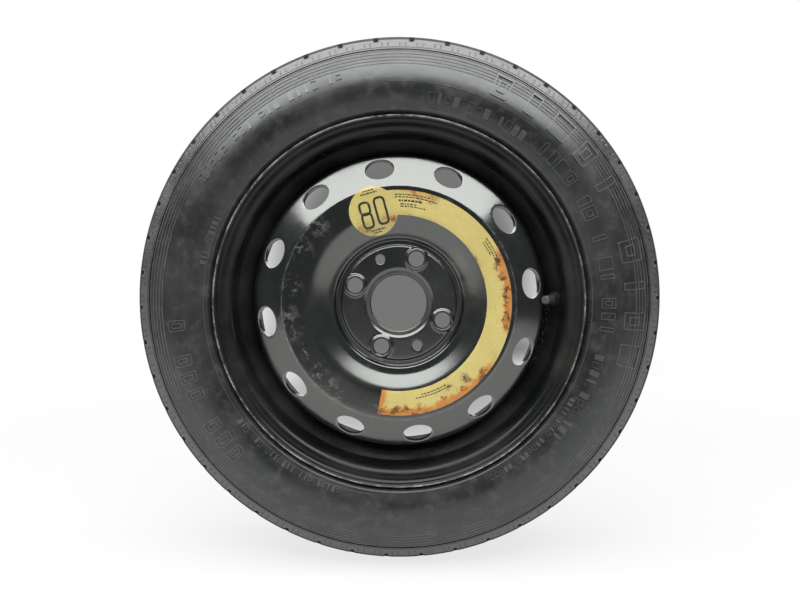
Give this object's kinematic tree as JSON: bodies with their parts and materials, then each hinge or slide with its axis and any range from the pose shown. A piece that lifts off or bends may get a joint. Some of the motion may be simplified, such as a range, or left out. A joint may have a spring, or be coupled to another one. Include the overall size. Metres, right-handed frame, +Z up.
{
  "type": "temporary spare wheel",
  "caption": "Narrow temporary spare wheel: a tyre with notched shoulders on a black pressed steel wheel with round vents, a yellow label and a snap-in valve.",
  "frame": {"origin": "centre of the tyre, on the wheel's axis and its centre plane", "axes": "+Y along the wheel's axis toward the car's hub, so the outer face looks toward -Y; +Z up; +X to the right as the picture shows the wheel"},
  "size_m": [0.566, 0.1352, 0.566],
  "materials": {
    "tyre_rubber": "satin",
    "black_enamel": "gloss",
    "weld_steel": "satin",
    "label_film": "matt, stained",
    "valve_rubber": "matt",
    "brass": "satin",
    "plated_brass": "satin",
    "red_seal": "matt",
    "spring_steel": "bright",
    "black_seal": "matt",
    "cap_plastic": "satin"
  },
  "bodies": {
    "wheel": {"tyre": "tyre_rubber", "rim": "black_enamel", "wheel_disc": "black_enamel", "disc_welds": "weld_steel", "yellow_label": "label_film", "valve_rubber": "valve_rubber", "valve_stem": "brass", "core_plug": "brass", "core_barrel": "plated_brass", "core_gasket": "red_seal", "core_spring": "spring_steel"},
    "core_pin": {"core_pin": "brass", "core_cup": "brass", "core_seal": "black_seal"},
    "valve_cap": {"valve_cap": "cap_plastic"}
  },
  "joints": [
    {"name": "cap_lift", "type": "slide", "parent": "wheel", "child": "valve_cap", "axis": [-0.6427, -0.766, -0.0112], "range_m": [0, 0.07]},
    {"name": "pin_press", "type": "slide", "parent": "wheel", "child": "core_pin", "axis": [0.6427, 0.766, 0.0112], "range_m": [0, 0.0012], "stiffness_N_per_m": 400, "springref_m": -0.002, "deforming": ["core_spring"]}
  ]
}
